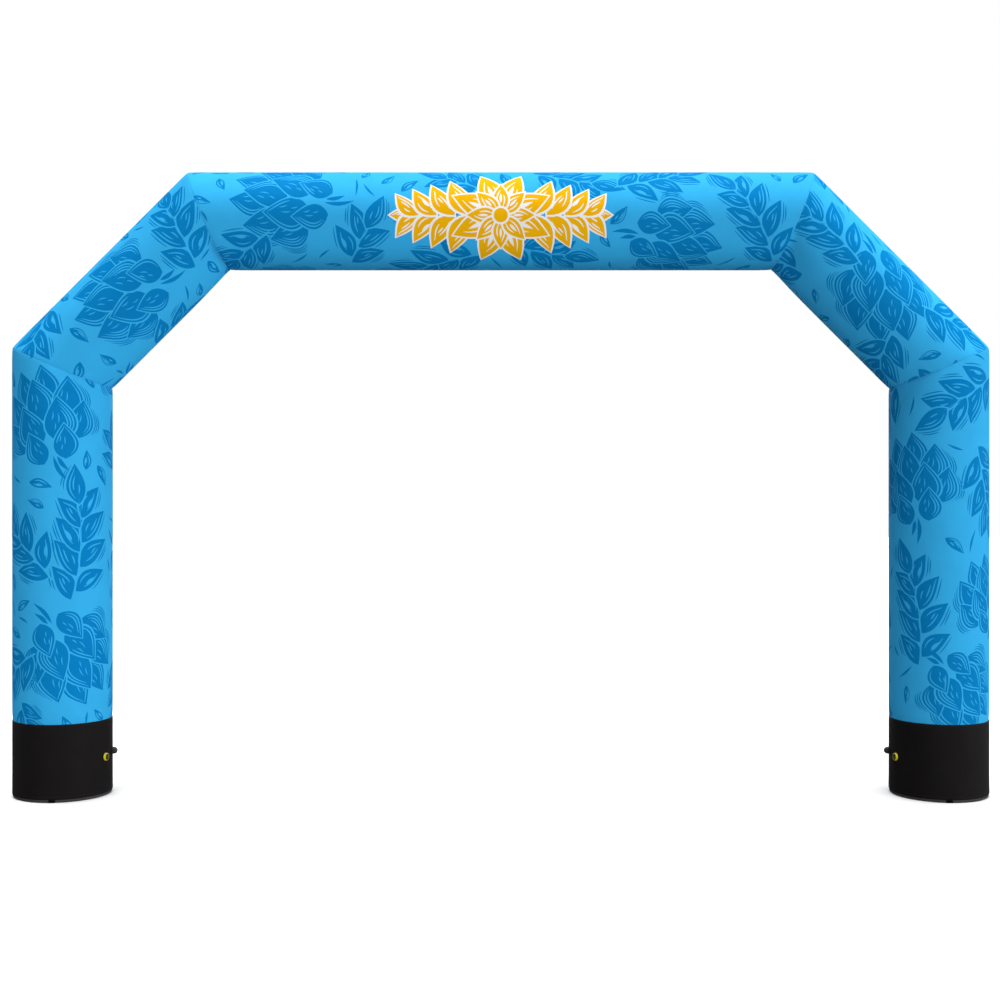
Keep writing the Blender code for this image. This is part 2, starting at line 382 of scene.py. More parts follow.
# Listed motifs of each tube: kind, place along, place across, turn in degrees, size.
# Along runs from the left boot over the top to the right boot; across is positive outwards.
LAYOUTS = {
    "leg_left": (
        ("bud", 1.86, 0.03, 16, 0.60),
        ("spray", 1.17, -0.20, -16, 0.84),
        ("branch", 1.13, 0.22, 38, 0.66),
        ("bud", 0.42, -0.14, -150, 0.58),
        ("twig", 0.28, 0.30, 118, 0.50),
    ),
    "diagonal_left": (
        ("bud", 0.62, -0.02, 150, 0.60),
        ("branch", 1.16, 0.08, 66, 0.66),
        ("twig", 0.05, 0.20, -140, 0.52),
        ("twig", 0.72, -0.48, 12, 0.50),
    ),
    "crossbar": (
        ("bud", 0.52, 0.10, 170, 0.62),
        ("twig", 0.22, -0.30, 215, 0.50),
        ("twig", 1.00, -0.12, 70, 0.50),
        ("twig", 1.52, 0.24, 160, 0.46),
        ("branch", 2.30, 0.22, -24, 0.60),
        ("branch", 2.84, 0.26, 12, 0.62),
        ("bud", 2.88, -0.20, -18, 0.56),
        ("spray", 3.36, 0.02, 104, 0.78),
    ),
    "diagonal_right": (
        ("bud", 0.70, 0.02, -34, 0.60),
        ("branch", 0.14, 0.04, 168, 0.64),
        ("twig", 1.18, 0.22, 24, 0.52),
        ("twig", 1.02, -0.36, -70, 0.50),
    ),
    "leg_right": (
        ("branch", 0.22, 0.04, -64, 0.66),
        ("bud", 0.72, -0.26, -168, 0.56),
        ("branch", 0.82, 0.26, 14, 0.68),
        ("spray", 1.44, -0.22, 172, 0.80),
        ("bud", 1.42, 0.26, -160, 0.48),
        ("bud", 1.98, 0.06, 38, 0.50),
    ),
}

# The ornament in the middle of the crossbar

ORNAMENT_ACROSS = -0.02
GOLD_GAP = 0.013          # white edge round a gold leaf


def gold_leaf(length, width, bow=0.0, side=1, style=0):
    return leaf(length, width, bow, side, style, 0, GOLD, WHITE, GOLD_GAP)


def disc(radius, tone):
    angles = np.linspace(0, 2 * math.pi, 25)[:-1]
    return [(radius * math.cos(a), radius * math.sin(a)) for a in angles], tone


def gold_branch():
    """A branch of gold leaves in pairs, growing smaller towards its tip."""
    shapes = moved(gold_leaf(0.150, 0.072), 0.525, 0.0)
    for k in range(3, -1, -1):
        share = k / 3
        x = 0.170 + 0.330 * share
        grow = 1.0 - 0.30 * share
        for side in (-1, 1):
            turn = side * math.radians(60 - 16 * share)
            blade = gold_leaf(0.270 * grow, 0.122 * grow, -0.09 * side, side, k % 3)
            shapes += moved(blade, x, 0.0, turn)
    return shapes


def ornament():
    """A plain gold garland: two branches of leaves and a rosette, all edged in white."""
    branch = gold_branch()
    shapes = [([(-x, y) for x, y in points], tone) for points, tone in branch] + branch
    for count, size, width, first in ((8, 0.300, 0.142, 0.5), (8, 0.190, 0.090, 0.0)):
        for k in range(count):
            turn = 2 * math.pi * (k + first) / count
            petal = gold_leaf(size, width, style=CORED)
            shapes += moved(petal, 0.015 * math.cos(turn), 0.015 * math.sin(turn), turn)
    shapes.append(disc(0.056, WHITE))
    shapes.append(disc(0.043, GOLD))
    return shapes


def printed(name, length, seed):
    """All the outlines printed on one tube."""
    cloth = Print(length, seed)
    for row in LAYOUTS[name]:
        cloth.add(*row)
    for row in FILLING:
        cloth.scatter(*row)
    if name == "crossbar":
        cloth.shapes += moved(ornament(), length / 2, ORNAMENT_ACROSS)
    return cloth.shapes


# Printed tubes

class Tube:
    """One straight section of the arch, unrolled to (across the girth, along the axis)."""

    def __init__(self, name, number, start, end, mitred):
        self.name = name
        self.origin = np.array(start)
        self.length = float(np.linalg.norm(np.array(end) - self.origin))
        turn = number * BEND
        self.axis = np.array((math.sin(turn), 0.0, math.cos(turn)))
        self.inward = np.array((math.cos(turn), 0.0, -math.sin(turn)))
        self.front = np.array((0.0, -1.0, 0.0))
        self.slopes = [MITRE_SLOPE if cut else 0.0 for cut in mitred]
        self.gaps = [MITRE_GAP if cut else GAP / 2 for cut in mitred]
        self.tucked = (name == "diagonal_right", name == "diagonal_left")

    def ends(self, around):
        """Places along the axis where the tube starts and ends, at an arc length round it."""
        x = TUBE_RADIUS * np.cos(around / TUBE_RADIUS)
        start = self.gaps[0] + self.slopes[0] * x
        return start, self.length - self.gaps[1] - self.slopes[1] * x

    def tuck(self, angle, distance):
        """Depth of the fold beside the inner corner of an upper seam."""
        off = np.abs((angle + math.pi) % (2 * math.pi) - math.pi)
        share = np.maximum(distance, 0) / TUCK_REACH
        depth = TUCK_DEPTH * np.exp(-((off - TUCK_ANGLE) / TUCK_SPREAD) ** 2)
        return depth * share * np.exp(1 - share)

    def seam_dip(self, angle, distance, slope):
        """How far a seam draws the cloth in."""
        wave = (1 - np.cos(PUCKERS * angle)) / 2
        if slope:
            inside = (1 + np.cos(angle)) / 2
            uneven = 0.75 + 0.25 * np.sin(5 * angle + 1.0)
            pucker = MITRE_PUCKER_OUTSIDE + (MITRE_PUCKER_INSIDE - MITRE_PUCKER_OUTSIDE) * inside
            depth = MITRE_DRAW_IN + pucker * wave * uneven
            dip = STITCH_DIP * np.exp(-distance / STITCH_DIP_REACH)
        else:
            depth = SQUARE_DRAW_IN + SQUARE_PUCKER * wave
            dip = 0.0
        return depth * np.exp(-distance / SEAM_REACH) + dip

    def place(self, around, along):
        """Points of the cloth."""
        angle = around / TUBE_RADIUS
        start, end = self.ends(around)
        first = self.seam_dip(angle, along - start, self.slopes[0])
        last = self.seam_dip(angle, end - along, self.slopes[1])
        if self.tucked[0]:
            first = first + self.tuck(angle, along - start)
        if self.tucked[1]:
            last = last + self.tuck(angle, end - along)
        off = np.minimum(np.abs(around), np.abs(around - GIRTH))
        inner = 1 - np.exp(-np.maximum(along - start, 0) / SWELL_REACH)
        inner = inner * (1 - np.exp(-np.maximum(end - along, 0) / SWELL_REACH))
        crease = CREASE_DEPTH * np.exp(-(off / CREASE_WIDTH) ** 2) * inner
        radius = TUBE_RADIUS + SWELL * inner - first - last - crease
        z = along - self.slopes[0] * first * np.cos(angle) + self.slopes[1] * last * np.cos(angle)
        return (self.origin
                + np.outer(radius * np.cos(angle), self.inward)
                + np.outer(radius * np.sin(angle), self.front)
                + np.outer(z, self.axis))

    def normals(self, around, along):
        """The cloth's outward directions, from four close points."""
        step = 0.0003
        across = self.place(around + step, along) - self.place(around - step, along)
        onward = self.place(around, along + step) - self.place(around, along - step)
        normal = np.cross(onward, across)
        return normal / np.linalg.norm(normal, axis=1)[:, None]


FINE = 144                # points around a seam
COARSE = 72               # points around the middle of a tube
SEAM_ROWS = (0.002, 0.005, 0.009, 0.013, 0.018, 0.026, 0.036, 0.050, 0.070, 0.095)
ROW_STEP = 0.055
ROW_MARGIN = 0.03         # from the last of the seam's rows to the even ones
EDGE_END = 0.02           # from the last point of a long edge to the tube's end
CREASE_POINTS = (0.004, 0.009)
LONGEST = 4.0             # more than any tube's length
MERGE = 1e-5              # points nearer than this are one
SAME_HEIGHT = 1e-4        # the long edges' points are joined when their heights differ less
ON_RIM = 0.001            # points nearer to a tube's end than this are on its rim
PRINT_MARGIN = 0.2


def grid_points(tube):
    """The cloth's own points: closer together near the seams, where it curves more."""
    around = []
    along = []
    fine = np.arange(1, FINE) * GIRTH / FINE
    coarse = np.concatenate((CREASE_POINTS, np.arange(1, COARSE) * GIRTH / COARSE,
                             GIRTH - np.array(CREASE_POINTS[::-1])))
    start, end = tube.ends(fine)
    for row in SEAM_ROWS:
        around += [fine, fine]
        along += [start + row, end - row]
    start, end = tube.ends(coarse)
    start = start + SEAM_ROWS[-1] + ROW_MARGIN
    end = end - SEAM_ROWS[-1] - ROW_MARGIN
    rows = max(2, int(round(tube.length / ROW_STEP)))
    for k in range(rows + 1):
        around.append(coarse)
        along.append(start + (end - start) * k / rows)
    return np.column_stack((np.concatenate(around), np.concatenate(along)))


def outline_of(tube):
    """The unrolled cloth's edge, counter-clockwise."""
    around = np.arange(FINE + 1) * GIRTH / FINE
    start, end = tube.ends(around)
    even = np.arange(SEAM_ROWS[-1] + ROW_MARGIN, LONGEST, ROW_STEP)
    side = np.concatenate((SEAM_ROWS, even))
    low = start[0]
    high = end[0]
    side = low + side[side < high - low - EDGE_END]
    bottom = list(zip(around, start))
    right = [(GIRTH, y) for y in side]
    top = list(zip(around[::-1], end[::-1]))
    left = [(0.0, y) for y in side[::-1]]
    return bottom + right + top + left


def within(points, outline):
    """Which of the points lie inside a closed outline."""
    inside = np.zeros(len(points), bool)
    x, y = points.T
    for (x0, y0), (x1, y1) in zip(outline, np.roll(outline, -1, axis=0)):
        if y0 != y1:
            crossing = (y0 > y) != (y1 > y)
            inside ^= crossing & (x < x0 + (y - y0) * (x1 - x0) / (y1 - y0))
    return inside


def inlay(tube, shapes):
    """Cuts the print's outlines into the unrolled cloth: points, triangles and their tones."""
    outlines = []
    tones = []
    for points, tone in shapes:
        flat = np.array(points)[:, ::-1] + (GIRTH / 4, 0.0)
        flat[:, 0] -= math.floor(flat[:, 0].mean() / GIRTH) * GIRTH
        for copy in (-GIRTH, 0.0, GIRTH):
            shifted = flat + (copy, 0.0)
            after_start = shifted.max(axis=0) > (0.0, -PRINT_MARGIN)
            before_end = shifted.min(axis=0) < (GIRTH, tube.length + PRINT_MARGIN)
            if after_start.all() and before_end.all():
                outlines.append(shifted)
                tones.append(tone)
    points = []
    edges = []
    for outline in [outline_of(tube)] + outlines:
        first = len(points)
        count = len(outline)
        points += [Vector(p) for p in outline]
        edges += [(first + k, first + (k + 1) % count) for k in range(count)]
    points += [Vector(p) for p in grid_points(tube)]
    result = delaunay_2d_cdt(points, edges, [], 0, MERGE, False)
    verts = np.array([tuple(v) for v in result[0]])
    triangles = np.array([tuple(face) for face in result[2]])
    middles = verts[triangles].mean(axis=1)
    start, end = tube.ends(middles[:, 0])
    inside = (middles[:, 0] > 0) & (middles[:, 0] < GIRTH)
    inside &= (middles[:, 1] > start) & (middles[:, 1] < end)
    triangles = triangles[inside]
    middles = middles[inside]
    slots = np.full(len(triangles), GROUND)
    order = np.argsort(middles[:, 1])
    heights = middles[order, 1]
    for outline, tone in zip(outlines, tones):
        first, last = np.searchsorted(heights, (outline[:, 1].min(), outline[:, 1].max()))
        near = order[first:last]
        slots[near[within(middles[near], outline)]] = tone
    return verts, triangles, slots


def close_tube(verts, triangles):
    """Joins the two long edges of the unrolled cloth, and returns the new triangles."""
    low = np.where(np.abs(verts[:, 0]) < 2 * MERGE)[0]
    high = np.where(np.abs(verts[:, 0] - GIRTH) < 2 * MERGE)[0]
    low = low[np.argsort(verts[low, 1])]
    heights = verts[low, 1]
    new = np.arange(len(verts))
    for index in high:
        k = int(np.argmin(np.abs(heights - verts[index, 1])))
        if abs(heights[k] - verts[index, 1]) < SAME_HEIGHT:
            new[index] = low[k]
    return new[triangles]


def end_caps(tube, around, along, joined, first_centre):
    """Triangles that close the tube's two ends, and which end each is at."""
    edges = np.concatenate((joined[:, (0, 1)], joined[:, (1, 2)], joined[:, (2, 0)]))
    known = {(int(a), int(b)) for a, b in edges}
    rims = tube.ends(around)
    caps = []
    at_ends = []
    for a, b in sorted(known):
        if (b, a) in known:
            continue
        for at_end, rim in enumerate(rims):
            if abs(along[a] - rim[a]) < ON_RIM and abs(along[b] - rim[b]) < ON_RIM:
                caps.append((b, a, first_centre + at_end))
                at_ends.append(at_end)
                break
    return np.array(caps), at_ends


def tube_object(tube, shapes, materials):
    """The printed cloth of one tube, with a cap over each end."""
    verts, triangles, slots = inlay(tube, shapes)
    joined = close_tube(verts, triangles)
    a, b, c = joined.T
    keep = (a != b) & (b != c) & (a != c)
    joined = joined[keep][:, ::-1]
    flat = triangles[keep][:, ::-1]
    around, along = verts.T
    normals = tube.normals(around, along)
    caps, at_ends = end_caps(tube, around, along, joined, len(verts))
    places = np.vstack((tube.place(around, along),
                        tube.origin + tube.axis * tube.gaps[0],
                        tube.origin + tube.axis * (tube.length - tube.gaps[1])))
    faces = np.concatenate((joined, caps))
    used = np.unique(faces)
    index = -np.ones(len(places), int)
    index[used] = np.arange(len(used))
    slots = np.concatenate((slots[keep], np.full(len(caps), GROUND))).astype(np.int32)
    obj = link(tube.name + "_cloth", places[used], index[faces].tolist(), materials, slots=slots)

    slants = []
    for sign, slope in zip((-1, 1), tube.slopes):
        normal = sign * tube.axis + slope * tube.inward
        slants.append(normal / np.linalg.norm(normal))
    loops = normals[joined].reshape(-1, 3)
    cap_loops = np.repeat(np.array(slants)[at_ends], 3, axis=0)
    uv = np.concatenate((verts[flat].reshape(-1, 2), np.zeros((len(caps) * 3, 2))))
    layer = obj.data.uv_layers.new(name="cloth")
    layer.uv.foreach_set("vector", uv.astype(np.float32).ravel())
    obj.data.normals_split_custom_set(np.concatenate((loops, cap_loops)).tolist())
    return obj


# Meshes and pieces

def link(name, verts, faces, materials, slots=None):
    """A smooth mesh object; slots say which of the materials each face has."""
    mesh = bpy.data.meshes.new(name)
    mesh.from_pydata([tuple(v) for v in verts], [], [tuple(f) for f in faces])
    mesh.validate()
    mesh.polygons.foreach_set("use_smooth", [True] * len(mesh.polygons))
    if slots is not None:
        mesh.polygons.foreach_set("material_index", slots)
    for material in materials:
        mesh.materials.append(material)
    return add_object(name, mesh)


def grid_faces(rows, columns, closed=False):
    """Quads between rings of points."""
    faces = []
    for r in range(rows if closed else rows - 1):
        low = r * columns
        high = (r + 1) % rows * columns
        for c in range(columns):
            d = (c + 1) % columns
            faces.append((low + c, low + d, high + d, high + c))
    return faces


def capped_faces(rows, columns):
    """Quads between rings of points, and a face over each end."""
    last = (rows - 1) * columns
    ends = [tuple(range(columns))[::-1], tuple(range(last, last + columns))]
    return grid_faces(rows, columns) + ends


def ride(obj, slot_name, *nodes):
    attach(obj, BODY)
    if nodes:
        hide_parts(*nodes)
    return obj


# Materials

THREAD_PAIR = 0.0024      # two threads of a cloth's weave
WAVE_TURN = 20            # radians a metre that the wave texture turns at a scale of 1


def new_material(name, color, roughness, specular):
    material = bpy.data.materials.new(name)
    material.use_nodes = True
    shader = material.node_tree.nodes["Principled BSDF"]
    shader.inputs["Base Color"].default_value = (*color, 1.0)
    shader.inputs["Roughness"].default_value = roughness
    shader.inputs["Specular IOR Level"].default_value = specular
    return material, shader


def add_node(tree, kind, values=None, sources=None, **settings):
    """A node with its settings, values on its own sockets and what feeds the others."""
    node = tree.nodes.new(kind)
    for name, value in settings.items():
        setattr(node, name, value)
    for socket, value in (values or {}).items():
        node.inputs[socket].default_value = value
    for socket, output in (sources or {}).items():
        tree.links.new(output, node.inputs[socket])
    return node


def noise_node(tree, place, scale, detail):
    values = {"Scale": scale, "Detail": detail}
    return add_node(tree, "ShaderNodeTexNoise", values, {"Vector": place["Object"]}).outputs["Fac"]


def cloth_material(name, color, roughness=0.6, specular=0.005, spread=0.03, weave=0.10, coords="UV"):
    """Coated woven cloth: soft colour variation, a fine weave and light unevenness."""
    material, shader = new_material(name, color, roughness, specular)
    tree = material.node_tree
    place = add_node(tree, "ShaderNodeTexCoord").outputs
    shade = add_node(tree, "ShaderNodeMapRange",
                     {"From Min": 0.3, "From Max": 0.7, "To Min": 1 - spread, "To Max": 1 + spread},
                     {"Value": noise_node(tree, place, 9.0, 4.0)})
    tint = add_node(tree, "ShaderNodeVectorMath", {0: color}, {"Scale": shade.outputs["Result"]},
                    operation="SCALE")
    tree.links.new(tint.outputs["Vector"], shader.inputs["Base Color"])

    threads = {}
    for socket, direction in enumerate(("X", "Y")):
        wave = add_node(tree, "ShaderNodeTexWave",
                        {"Scale": 2 * math.pi / WAVE_TURN / THREAD_PAIR, "Distortion": 0.4},
                        {"Vector": place[coords]}, wave_type="BANDS", bands_direction=direction)
        threads[socket] = wave.outputs["Fac"]
    woven = add_node(tree, "ShaderNodeMath", None, threads, operation="MULTIPLY")
    fine = add_node(tree, "ShaderNodeBump", {"Strength": weave, "Distance": 0.0003},
                    {"Height": woven.outputs["Value"]})
    soft = add_node(tree, "ShaderNodeBump", {"Strength": 0.07, "Distance": 0.004},
                    {"Height": noise_node(tree, place, 14.0, 2.0), "Normal": fine.outputs["Normal"]})
    tree.links.new(soft.outputs["Normal"], shader.inputs["Normal"])
    return material


def plastic_material(name, color, roughness, specular):
    """Moulded plastic with a fine grain and slightly uneven gloss."""
    material, shader = new_material(name, color, roughness, specular)
    tree = material.node_tree
    noise = noise_node(tree, add_node(tree, "ShaderNodeTexCoord").outputs, 400.0, 3.0)
    gloss = add_node(tree, "ShaderNodeMapRange",
                     {"To Min": roughness - 0.06, "To Max": roughness + 0.08}, {"Value": noise})
    tree.links.new(gloss.outputs["Result"], shader.inputs["Roughness"])
    grain = add_node(tree, "ShaderNodeBump", {"Strength": 0.05, "Distance": 0.0003}, {"Height": noise})
    tree.links.new(grain.outputs["Normal"], shader.inputs["Normal"])
    return material


GROUND_COLOR = (0.034, 0.385, 0.745)
INK_COLOR = (0.0025, 0.190, 0.483)
GOLD_COLOR = (0.80, 0.42, 0.003)
WHITE_COLOR = (0.82, 0.82, 0.84)
BOOT_COLOR = (0.0065, 0.0055, 0.0062)
BASE_COLOR = (0.045, 0.042, 0.047)
WEBBING_COLOR = (0.0014, 0.0009, 0.0014)
THREAD_COLOR = (0.02, 0.02, 0.02)
YELLOW_COLOR = (0.84, 0.71, 0.002)
# The valve's yellow darkened: painted shade for the ring's funnel, bar and hub deep in its recess
SHADED_YELLOW_COLOR = (0.10, 0.09, 0.006)
BLACK_COLOR = (0.010, 0.010, 0.011)
KNOB_COLOR = (0.021, 0.020, 0.021)


def make_materials():
    return {
        "ground": cloth_material("print_ground", GROUND_COLOR),
        "ink": cloth_material("print_ink", INK_COLOR),
        "gold": cloth_material("print_gold", GOLD_COLOR),
        "white": cloth_material("print_white", WHITE_COLOR),
        "boot": cloth_material("boot_cloth_black", BOOT_COLOR, 0.62, 0.06, 0.10, 0.20, "Object"),
        "base": cloth_material("base_cloth_grey", BASE_COLOR, 0.62, 0.20, 0.08, 0.20, "Object"),
        "webbing": cloth_material("webbing_black", WEBBING_COLOR, 0.7, 0.02, 0.15, 0.30, "Object"),
        "thread": cloth_material("seam_thread", GROUND_COLOR, 0.5, 0.15, 0.05, 0.05, "Object"),
        "black thread": cloth_material("boot_thread", THREAD_COLOR, 0.5, 0.3, 0.05, 0.05, "Object"),
        "yellow": plastic_material("valve_yellow_plastic", YELLOW_COLOR, 0.32, 0.25),
        # Painted shade: the valve's yellow darkened for the parts inside the ring
        "shaded_yellow": plastic_material("valve_yellow_painted_shade", SHADED_YELLOW_COLOR, 0.45, 0.25),
        "black": plastic_material("valve_black_plastic", BLACK_COLOR, 0.42, 0.5),
        "knob": plastic_material("knob_black_plastic", KNOB_COLOR, 0.38, 0.3),
    }


def make_tubes(materials):
    left = ((-LEG_X, BOOT_TOP), (-LEG_X, CROSSBAR_Z - CORNER), (CORNER - LEG_X, CROSSBAR_Z))
    corners = [(x, 0.0, z) for x, z in left] + [(-x, 0.0, z) for x, z in left[::-1]]
    names = ("leg_left", "diagonal_left", "crossbar", "diagonal_right", "leg_right")
    tones = [materials["ground"], materials["ink"]]
    made = []
    for i, name in enumerate(names):
        tube = Tube(name, i, corners[i], corners[i + 1], (i > 0, i < len(names) - 1))
        slots = tones + [materials["gold"], materials["white"]] if name == "crossbar" else tones
        obj = tube_object(tube, printed(name, tube.length, FIRST_SEED + i), slots)
        ride(obj, "printed_cloth", name)
        made.append(tube)
    return made


# Boots, bases and tabs

def outward_at(angle, inward):
    return Vector((inward * math.cos(angle), -math.sin(angle), 0.0))


VALVE_ANGLE = math.radians(16.5)
VALVE_HEIGHT = 0.2435
KNOB_ANGLE = math.radians(-8.0)
KNOB_HEIGHT = 0.2605
FOOT_SIDES = 160

# The drawn-in ends of a boot: distance from the end, and how far the cloth is drawn in
BOOT_LOW_END = ((0.0, 0.0020), (0.002, 0.0010), (0.004, 0.0003), (0.007, 0.0))
BOOT_HIGH_END = ((0.020, 0.0003), (0.008, 0.0007), (0.002, 0.0010), (0.0, 0.0020))
BOOT_ENDS = 0.040         # the length of both together, with the last step to the upper one
BOOT_ROWS = 24
BASE_TOP_EDGE = ((0.0165, 0.0), (0.0173, 0.0004), (BASE_HEIGHT, 0.0012))
BASE_EDGE_STEPS = 12

WRINKLE_DEPTH = 0.0004
SMOOTH_MIDDLE = 0.08      # the angle between the valve and the knob, where the cloth is smooth
SMOOTH_SPREAD = 0.3
WRINKLE_ENDS = 0.02


def round_stack(name, profile, inward, material, dress=None):
    """A round closed form on a leg's axis, from (height, radius) rings; dress gives extra radius."""
    centre = -inward * LEG_X
    verts = []
    for height, radius in profile:
        for k in range(FOOT_SIDES):
            angle = 2 * math.pi * k / FOOT_SIDES
            extra = dress(angle, height) if dress else 0.0
            verts.append(Vector((centre, 0.0, height)) + outward_at(angle, inward) * (radius + extra))
    low = len(verts)
    last_row = low - FOOT_SIDES
    verts += [Vector((centre, 0.0, profile[0][0])), Vector((centre, 0.0, profile[-1][0]))]
    faces = grid_faces(len(profile), FOOT_SIDES)
    for k in range(FOOT_SIDES):
        m = (k + 1) % FOOT_SIDES
        faces.append((low, m, k))
        faces.append((low + 1, last_row + k, last_row + m))
    if inward > 0:
        faces = [face[::-1] for face in faces]
    return link(name, verts, faces, [material])


def boot_wrinkle(angle, height):
    """Soft unevenness of the black cloth, none beside the fittings or at its ends."""
    wave = (math.sin(3 * angle + 9 * height + 0.5) + 0.7 * math.sin(7 * angle - 23 * height + 2.0)
            + 0.5 * math.sin(13 * angle + 31 * height + 4.0))
    off = (angle + math.pi - SMOOTH_MIDDLE) % (2 * math.pi) - math.pi
    near = math.exp(-off ** 2 / SMOOTH_SPREAD)
    ends = (math.exp(-(BOOT_TOP - height) / WRINKLE_ENDS)
            + math.exp(-(height - BASE_HEIGHT) / WRINKLE_ENDS))
    return -WRINKLE_DEPTH * (1 - wave / 2.2) * (1 - near) * max(0.0, 1 - ends)


def boot_profile():
    bottom = BASE_HEIGHT + GAP
    top = BOOT_TOP - GAP / 2
    profile = [(bottom + rise, BOOT_RADIUS - drawn) for rise, drawn in BOOT_LOW_END]
    for k in range(1, BOOT_ROWS + 1):
        rise = BOOT_LOW_END[-1][0] + (top - BOOT_ENDS - bottom) * k / BOOT_ROWS
        profile.append((bottom + rise, BOOT_RADIUS))
    return profile + [(top - drop, BOOT_RADIUS - drawn) for drop, drawn in BOOT_HIGH_END]


def base_profile():
    profile = []
    for step in range(BASE_EDGE_STEPS + 1):
        turn = math.pi / 2 * step / BASE_EDGE_STEPS
        profile.append((BASE_ROUNDING_HEIGHT * (1 - math.cos(turn)),
                        BASE_RADIUS - BASE_ROUNDING_WIDTH * (1 - math.sin(turn))))
    return profile + [(height, BASE_RADIUS - drawn) for height, drawn in BASE_TOP_EDGE]


def make_feet(materials):
    for side, inward in SIDES:
        boot = round_stack("boot_cloth_" + side, boot_profile(), inward, materials["boot"],
                           boot_wrinkle)
        ride(boot, "boot_cloth", "boot_" + side)
        base = round_stack("base_cloth_" + side, base_profile(), inward, materials["base"])
        ride(base, "base_cloth", "base_" + side)


TAB_ANGLE = math.radians(85.0)
TAB_WIDTH = 0.040
TAB_THICKNESS = 0.0022
TAB_LOW = 0.0015
TAB_HIGH = 0.0175
TAB_RIBS = 10
TAB_RIB_DEPTH = 0.00012
TAB_CORNER = 0.0011
TAB_STEPS = 80
TAB_SECTION = 20          # points round the webbing's section


def squared(value):
    """A sine or cosine, bent so that a circle becomes nearly a rectangle."""
    return math.copysign(abs(value) ** 0.35, value)


def make_tabs(materials):
    """A short flat end of ribbed webbing on the front of each base."""
    middle = (TAB_LOW + TAB_HIGH) / 2
    half_high = (TAB_HIGH - TAB_LOW) / 2
    half_thick = TAB_THICKNESS / 2
    for side, inward in SIDES:
        verts = []
        for k in range(TAB_STEPS + 1):
            share = k / TAB_STEPS
            edge = min(share, 1 - share) * TAB_WIDTH
            end = math.sqrt(max(0.0, 1 - max(0.0, 1 - edge / TAB_CORNER) ** 2))
            rib = TAB_RIB_DEPTH * math.cos(2 * math.pi * TAB_RIBS * share) - TAB_RIB_DEPTH
            out = outward_at(TAB_ANGLE + (share - 0.5) * TAB_WIDTH / BASE_RADIUS, inward)
            for m in range(TAB_SECTION):
                turn = 2 * math.pi * m / TAB_SECTION
                thick = (half_thick + rib) * squared(math.cos(turn)) * max(end, 0.15)
                rise = half_high * squared(math.sin(turn)) * (0.96 + 0.04 * end)
                verts.append(Vector((-inward * LEG_X, 0.0, middle + rise))
                             + out * (BASE_RADIUS + GAP + half_thick + thick))
        faces = capped_faces(TAB_STEPS + 1, TAB_SECTION)
        if inward < 0:
            faces = [face[::-1] for face in faces]
        tab = link("tab_webbing_" + side, verts, faces, [materials["webbing"]])
        ride(tab, "webbing", "tab_" + side)


# Valves and knobs

def fitting_frame(inward, angle, height):
    """Where a fitting stands on the boot: its place, and its outward, level and upward directions."""
    out = outward_at(angle, inward)
    level = Vector((-out.y, out.x, 0.0))
    place = Vector((-inward * LEG_X, 0.0, height)) + out * BOOT_RADIUS
    return place, out, level, Vector((0.0, 0.0, 1.0))


def boot_height(offset):
    """Height of the boot's surface at a level offset from a fitting's middle."""
    return math.sqrt(BOOT_RADIUS ** 2 - offset ** 2) - BOOT_RADIUS + GAP


def turned_fitting(name, frame_at, profile, sides, materials, seated=False, ring=False):
    """A round shape from (height, radius) rings; if seated, the first lies on the boot.

    The valve's ring is hollow, so its last ring of points meets the first. It has grooves for
    fingers, and its funnel has the second material, the valve's yellow darkened as painted shade."""
    place, out, level, up = frame_at
    verts = []
    for row, (height, radius) in enumerate(profile):
        for k in range(sides):
            angle = 2 * math.pi * k / sides
            spread = radius - (groove(k, height, radius) if ring else 0.0)
            x = spread * math.cos(angle)
            y = spread * math.sin(angle)
            rise = boot_height(x) if seated and row == 0 else height
            verts.append(place + out * rise + level * x + up * y)
    if not ring:
        return link(name, verts, capped_faces(len(profile), sides), materials)
    faces = grid_faces(len(profile), sides, closed=True)
    slots = [int(k >= RING_FUNNEL_ROW * sides) for k in range(len(faces))]
    return link(name, verts, faces, materials, slots=slots)


BAR_HALF_LENGTH = 0.0112
BAR_HALF_WIDTH = 0.0026
BAR_LOW = 0.0049
BAR_HIGH = 0.0078
BAR_EDGE = 0.0009
BAR_EDGE_STEPS = 4
BAR_ROWS = (-1.0, -0.5, 0.0, 0.5, 1.0)


def valve_bar(name, frame_at, material):
    """A level bar with rounded long edges."""
    place, out, level, up = frame_at
    section = [(-BAR_HALF_WIDTH, BAR_LOW), (BAR_HALF_WIDTH, BAR_LOW)]
    for sign, first in ((1, 0.0), (-1, math.pi / 2)):
        for k in range(BAR_EDGE_STEPS + 1):
            a = first + math.pi / 2 * k / BAR_EDGE_STEPS
            section.append((sign * (BAR_HALF_WIDTH - BAR_EDGE) + BAR_EDGE * math.cos(a),
                            BAR_HIGH - BAR_EDGE + BAR_EDGE * math.sin(a)))
    verts = [place + out * rise + level * (BAR_HALF_LENGTH * share) + up * y
             for share in BAR_ROWS for y, rise in section]
    return link(name, verts, capped_faces(len(BAR_ROWS), len(section)), [material])


